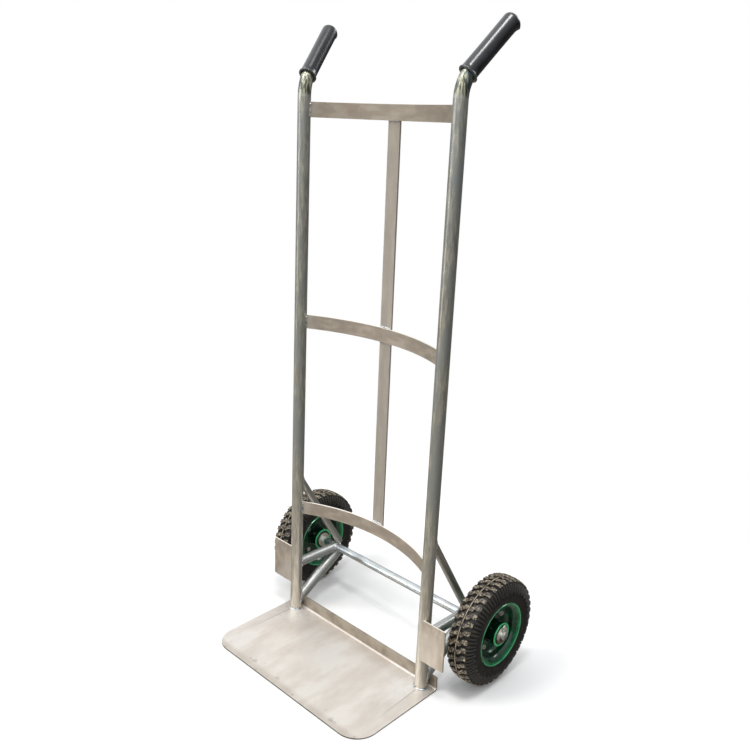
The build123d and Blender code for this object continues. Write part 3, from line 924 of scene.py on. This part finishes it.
def make_tube_welds(name, side, material):
    """Beads at the ends of one side's arm and struts, and around the front of its rail's foot."""
    rail = (rail_point(side, 0), RAIL_WAY, RAIL_R)
    axle = Vector((side * RAIL_X, AXLE.y, AXLE.z))
    around_axle = (axle, Vector((1, 0, 0)), AXLE_R + 0.6 * MM)
    arm_head = rail_point(side, ARM_RAIL_Z)
    arm = arm_head - axle
    strut_foot = Vector((side * RAIL_X, *UPPER_STRUT_FOOT))
    up = rail_point(side, UPPER_STRUT_RAIL_Z) - strut_foot
    strut_head = Vector((side * RAIL_X, *LOWER_STRUT_HEAD))
    down = rail_point(side, LOWER_STRUT_RAIL_Z) - strut_head
    centre, radius = rail_point(side, PLATE_T + 0.4 * MM), RAIL_R + 0.8 * MM
    turns = np.linspace(pi * 0.92, pi * 2.08, 40)
    arc = [centre + Vector((cos(t), sin(t), 0)) * radius for t in turns]
    welds = (    # place, line, radius in millimetres, whether it closes, seed
        ("arm_rail", saddle(axle, arm, ARM_R, *rail), 1.9, True, 11),
        ("arm_axle", saddle(arm_head, -arm, ARM_R * 0.8, *around_axle), 3.0, True, 12),
        ("upper_strut_rail", saddle(strut_foot, up, UPPER_STRUT_R, *rail), 1.6, True, 13),
        ("lower_strut_rail", saddle(strut_head, down, LOWER_STRUT_R, *rail)[4:-4], 1.8, False, 14),
        ("foot", arc, 2.1, False, 15),
        ("upper_strut_axle", axle_ring(axle, strut_foot, UPPER_STRUT_R, 1), 2.0, True, 17),
        ("lower_strut_axle", axle_ring(axle, strut_head, LOWER_STRUT_R * 0.8, -1), 2.0, True, 15),
    )
    for place, line, bead_r, closed, seed in welds:
        bead(f"{name}_{place}_weld", line, bead_r * MM, material, closed, seed)


def make_bar_welds(material):
    """Upright beads on the front and back of each crossbar, where it meets the rails."""
    for bar, bow in BAR_BOWS.items():
        low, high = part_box(bar + "_crossbar")
        arc_r = (RAIL_X**2 + bow**2) / (2 * bow)
        slant = asin(RAIL_X / arc_r)
        for name, side in SIDES.items():
            inward = Vector((-side * cos(slant), sin(slant), 0))
            front = Vector((-side * sin(slant), -cos(slant), 0))
            for face, offset in (("front", 1), ("back", -1)):
                place = inward * (RAIL_R + 0.3 * MM) + front * offset * BAR_T / 2
                rise = np.linspace(low.z + 2 * MM, high.z - 2 * MM, 12)
                path = [rail_point(side, z) + place for z in rise]
                weld_name = f"{name}_{bar}_bar_{face}_weld"
                bead(weld_name, path, 1.7 * MM, material, False, 20 + side + offset)


def make_strip_welds(material):
    """Short beads across the centre strip where it crosses the bars."""
    strip_low, strip_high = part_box("centre_strip")
    half = (strip_high.x - strip_low.x) / 2
    for bar, bow in BAR_BOWS.items():
        low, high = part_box(bar + "_crossbar")
        edges = {"top": [low.z], "middle": [low.z, high.z], "lower": [high.z]}[bar]
        for k, z in enumerate(edges):
            y = z * tan(RAIL_LEAN) + bow + BAR_T / 2 - 0.6 * MM
            out = -0.4 * MM if z == low.z else 0.4 * MM
            path = [Vector((x, y, z + out)) for x in np.linspace(-half + 1 * MM, half - 1 * MM, 10)]
            bead(f"{bar}_strip_weld_{k}", path, 1.6 * MM, material, False, 30 + k)


def make_guard_welds(material):
    """Short beads behind each guard, on the outer side of its rail."""
    for name, side in SIDES.items():
        low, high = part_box(name + "_wheel_guard")
        for k, share in enumerate((0.14, 0.5, 0.86)):
            z = low.z + (high.z - low.z) * share
            rise = np.linspace(z - 6 * MM, z + 6 * MM, 6)
            path = [rail_point(side, h) + Vector((side * 9.6 * MM, -8.0 * MM, 0)) for h in rise]
            bead(f"{name}_guard_weld_{k}", path, 1.6 * MM, material, False, 40 + k)


# ---- Materials and edges of the CAD pieces that stay as they are

def dress(node, material, edge):
    """Gives a CAD piece its material, and rounds its edges by a width in metres."""
    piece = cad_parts[node]
    piece.data.materials.clear()
    piece.data.materials.append(material)
    if edge:
        soften(piece, edge)


def dress_cad_pieces(paint):
    """Materials and edges for every node that the visual model keeps."""
    grey = (srgb(64, 74, 70), srgb(122, 125, 112), srgb(210, 202, 174), srgb(74, 100, 110))
    warm = (srgb(168, 154, 134), srgb(222, 208, 188))
    rail = galvanised("rail_zinc", 0.0, grey, warm, 0.05, 0.52)
    dark = (srgb(84, 78, 68), srgb(104, 97, 86), srgb(132, 124, 112), srgb(92, 90, 84))
    upper = galvanised("upper_strut_zinc", radians(-31), dark, warm)
    blue = (srgb(134, 142, 148), srgb(158, 164, 168), srgb(186, 190, 190), srgb(140, 150, 160))
    lower = galvanised("lower_strut_zinc", radians(-54), blue, warm)
    arm = galvanised("arm_zinc", radians(90), blue, warm)
    zinc = plated("hardware_zinc", srgb(206, 202, 194), srgb(178, 172, 162), srgb(132, 104, 82))
    collar = plated("collar_zinc", srgb(244, 236, 220), srgb(222, 212, 194), srgb(168, 144, 116))
    nuts = plated("nut_zinc", srgb(222, 220, 212), srgb(192, 188, 178), srgb(140, 124, 102))
    bearing = plated("bearing_steel", srgb(206, 206, 206), srgb(186, 186, 186), srgb(150, 140, 128))
    seal = soft_part("seal_rubber", srgb(12, 12, 12), srgb(34, 33, 31))
    tube = soft_part("tube_rubber", srgb(24, 24, 24), srgb(48, 46, 44), 0.006, (0.6, 0.8))
    brass = plated("valve_brass", srgb(206, 172, 104), srgb(170, 134, 74), srgb(110, 84, 52))
    cap = soft_part("cap_plastic", srgb(16, 16, 17), srgb(46, 46, 48))
    bar, guard = bar_steel(), guard_steel()
    for name in BAR_BOWS:
        dress(name + "_crossbar", bar, 0.5 * MM)
    dress("centre_strip", strip_steel(), 0.5 * MM)
    dress("axle", axle_steel(), 0.3 * MM)
    per_side = {
        "rail": (rail, 0.0),
        "wheel_guard": (guard, 0.5 * MM),
        "axle_arm": (arm, 0.0),
        "upper_strut": (upper, 0.0),
        "lower_strut": (lower, 0.0),
        "bearing_inner_races": (bearing, 0.0),
        "hub_spacer": (zinc, 0.0),
        "inner_collar": (collar, 0.4 * MM),
        "outer_washer": (zinc, 0.4 * MM),
        "split_pin": (zinc, 0.0),
        "inner_tube": (tube, 0.0),
        "hub_sleeve": (paint, 0.4 * MM),
        "bearing_outer_races": (bearing, 0.0),
        "bearing_balls": (bearing, 0.0),
        "bearing_seals": (seal, 0.0),
        "rim_bolts": (nuts, 0.3 * MM),
        "rim_nuts": (nuts, 0.4 * MM),
        "valve_stem": (brass, 0.0),
        "valve_cap": (cap, 0.4 * MM),
    }
    for side in SIDES:
        for part, (material, edge) in per_side.items():
            dress(side + "_" + part, material, edge)


# ---- Floor and light

FLOOR_R = 1.3
FLOOR_CLEAR_R = 0.35
FLOOR_Z = -0.4 * MM


def floor_material():
    """Pale paint that fades out away from the object."""
    look = Look("floor_paint")
    patch = look.noise(0.9, 3)
    tone = look.mix(look.fade(patch, 0.3, 0.7), srgb(240, 240, 240), srgb(245, 245, 244))
    far = look.fade(look.distance_to((0, 0, 0)), FLOOR_R, FLOOR_CLEAR_R)
    look.tree.links.new(far, look.shader.inputs["Alpha"])
    return look.finish(tone, look.between(patch, 0.75, 0.85))


def make_floor():
    """A round floor, which metal doesn't mirror."""
    turns = [2 * pi * k / 64 for k in range(64)]
    points = [(FLOOR_R * cos(t), FLOOR_R * sin(t), FLOOR_Z) for t in turns]
    floor = add_object("floor", points, [tuple(range(64))], floor_material(), False)
    floor.visible_glossy = False


def area_light(name, place, target, width, height, power, colour=(1, 1, 1)):
    """A soft light at a place, turned to a target."""
    data = bpy.data.lights.new(name, "AREA")
    data.shape = "RECTANGLE"
    data.size, data.size_y = width, height
    data.energy = power
    data.color = colour
    light = bpy.data.objects.new(name, data)
    light.location = place
    light.rotation_euler = (Vector(target) - Vector(place)).to_track_quat("-Z", "Y").to_euler()
    bpy.context.scene.collection.objects.link(light)


SKY = (
    (0.00, (0.46, 0.42, 0.36, 1)), (0.40, (0.30, 0.28, 0.25, 1)), (0.485, (0.08, 0.08, 0.08, 1)),
    (0.55, (0.62, 0.65, 0.69, 1)), (0.72, (1.00, 1.02, 1.05, 1)), (1.00, (1.10, 1.10, 1.10, 1)),
)
DARK_WAY = Vector((0.62, 0.78, 0.0))


def make_world():
    """A pale sky over dim ground, darker to the right. Rays from the camera see plain white."""
    world = bpy.data.worlds.new("studio")
    bpy.context.scene.world = world
    world.use_nodes = True
    tree = world.node_tree
    place = add_node(tree, "ShaderNodeTexCoord", {})
    height = add_node(tree, "ShaderNodeSeparateXYZ", {0: place}, output=2)
    level = add_node(tree, "ShaderNodeMapRange", {"Value": height, "From Min": -1.0})
    sky = add_ramp(tree, level, SKY)
    aim = {0: place, 1: DARK_WAY}
    toward = add_node(tree, "ShaderNodeVectorMath", aim, output=1, operation="DOT_PRODUCT")
    limits = {"Value": toward, "From Min": -0.6, "From Max": 0.9, "To Min": 1.15, "To Max": 0.35}
    dim = add_node(tree, "ShaderNodeMapRange", limits)
    shaded = add_node(tree, "ShaderNodeVectorMath", {0: sky, "Scale": dim}, operation="SCALE")
    from_camera = add_node(tree, "ShaderNodeLightPath", {})
    choice = {0: from_camera, 6: shaded, 7: (1, 1, 1, 1)}
    seen = add_node(tree, "ShaderNodeMix", choice, output=2, data_type="RGBA")
    tree.links.new(seen, tree.nodes["Background"].inputs["Color"])


def make_lights():
    """A key light, a top light, a side light and a back light."""
    area_light("key", (-1.3, -2.1, 3.8), (0, 0, 0.5), 1.2, 1.2, 56, (1.0, 0.985, 0.96))
    area_light("top", (0.6, -0.5, 3.3), (0.1, 0, 0.6), 0.7, 0.7, 28)
    area_light("side", (-2.2, -2.6, 1.2), (0, 0, 0.7), 0.4, 2.6, 11, (0.97, 0.985, 1.0))
    area_light("back", (0.6, 3.0, 2.6), (0, 0, 0.4), 2.0, 1.2, 30)


bpy.context.scene.view_settings.view_transform = "Standard"
make_camera()
make_lights()
make_world()
make_floor()
weld = weld_metal()
paint = rim_paint()
dress_cad_pieces(paint)
rubber, plastic = tyre_rubber(), grip_plastic()
for side_name, side_way in SIDES.items():
    make_tyre(side_name, side_way, rubber)
    make_grip(side_name, side_way, plastic)
    for facing in (1, -1):
        make_rim(side_name, side_way, facing, paint)
make_toe_plate(plate_steel())
for side_name, side_way in SIDES.items():
    make_tube_welds(side_name, side_way, weld)
make_bar_welds(weld)
make_strip_welds(weld)
make_guard_welds(weld)
